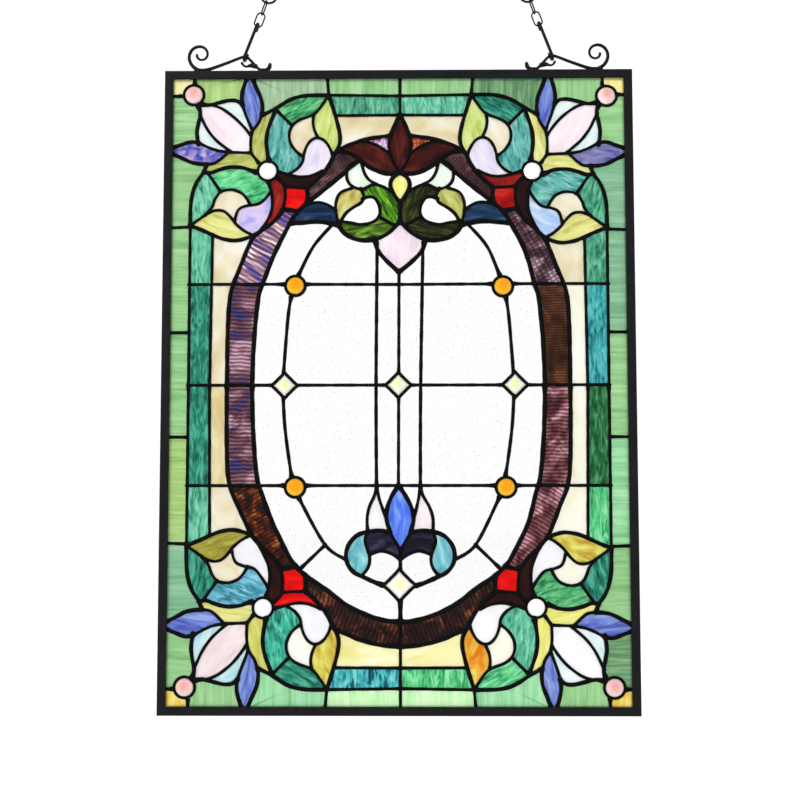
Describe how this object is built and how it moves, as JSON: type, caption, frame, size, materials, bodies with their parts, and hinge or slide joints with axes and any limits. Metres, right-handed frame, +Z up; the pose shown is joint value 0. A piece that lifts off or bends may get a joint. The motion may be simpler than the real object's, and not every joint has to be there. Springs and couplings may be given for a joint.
{
  "type": "stained glass window",
  "caption": "Hanging stained glass window panel with an oval ring, corner flowers, scrolls and jewels, in a black frame on two chains",
  "frame": {"origin": "midway between the crowns of the two end rings that the chains hang by", "axes": "+Z up, the panel's front faces -Y, +X to the right seen from the front"},
  "size_m": [0.457, 0.0109, 0.7083],
  "materials": {
    "frame": "black, satin, soldered at the corners",
    "solder": "solder with a black patina, satin",
    "hardware": "black wire, satin",
    "border_glass": "green and yellow opalescent glass",
    "flower_glass": "pink, pale blue, blue and olive opalescent glass",
    "scroll_glass": "green, teal, cream, lilac and red opalescent glass",
    "field_glass": "green, teal and cream opalescent glass",
    "ring_glass": "dark ripple glass, purple to brown",
    "maroon_glass": "maroon opalescent glass",
    "spray_glass": "olive, mint, white and navy opalescent glass",
    "yellow_glass": "pale yellow glass, bud and faceted stars",
    "pink_glass": "pinkish white opalescent glass",
    "blue_glass": "blue, navy and sky opalescent glass",
    "clear_glass": "clear seedy glass",
    "amber_jewel": "amber cast glass, glossy",
    "rose_jewel": "rose cast glass, glossy",
    "white_jewel": "clear white cast glass, glossy"
  },
  "bodies": {
    "root": {"frame": "frame", "solder_lattice": "solder", "border_glass_upper_left": "border_glass", "flower_glass_upper_left": "flower_glass", "scroll_glass_upper_left": "scroll_glass", "pink_jewel_upper_left": "rose_jewel", "white_jewel_upper_left": "white_jewel", "amber_jewel_upper_left": "amber_jewel", "border_glass_upper_right": "border_glass", "flower_glass_upper_right": "flower_glass", "scroll_glass_upper_right": "scroll_glass", "pink_jewel_upper_right": "rose_jewel", "white_jewel_upper_right": "white_jewel", "amber_jewel_upper_right": "amber_jewel", "border_glass_lower_left": "border_glass", "flower_glass_lower_left": "flower_glass", "scroll_glass_lower_left": "scroll_glass", "pink_jewel_lower_left": "rose_jewel", "white_jewel_lower_left": "white_jewel", "amber_jewel_lower_left": "amber_jewel", "border_glass_lower_right": "border_glass", "flower_glass_lower_right": "flower_glass", "scroll_glass_lower_right": "scroll_glass", "pink_jewel_lower_right": "rose_jewel", "white_jewel_lower_right": "white_jewel", "amber_jewel_lower_right": "amber_jewel", "field_glass_left": "field_glass", "ring_glass_left": "ring_glass", "ring_glass_upper_left": "ring_glass", "spray_glass_left": "spray_glass", "clear_glass_row_1_left": "clear_glass", "clear_glass_row_2_left": "clear_glass", "clear_glass_row_3_left": "clear_glass", "clear_glass_row_4_left": "clear_glass", "hanger_left": "hardware", "hook_left": "hardware", "chain_left": "hardware", "field_glass_right": "field_glass", "ring_glass_right": "ring_glass", "ring_glass_upper_right": "ring_glass", "spray_glass_right": "spray_glass", "clear_glass_row_1_right": "clear_glass", "clear_glass_row_2_right": "clear_glass", "clear_glass_row_3_right": "clear_glass", "clear_glass_row_4_right": "clear_glass", "hanger_right": "hardware", "hook_right": "hardware", "chain_right": "hardware", "field_glass_top": "field_glass", "field_glass_bottom": "field_glass", "ring_glass_bottom": "ring_glass", "flower_glass_top": "maroon_glass", "bud_glass_top": "yellow_glass", "shield_glass": "pink_glass", "spray_glass_bottom": "blue_glass", "star_jewel_left": "yellow_glass", "star_jewel_middle": "yellow_glass", "star_jewel_right": "yellow_glass", "star_jewel_bottom": "yellow_glass"}
  },
  "joints": []
}
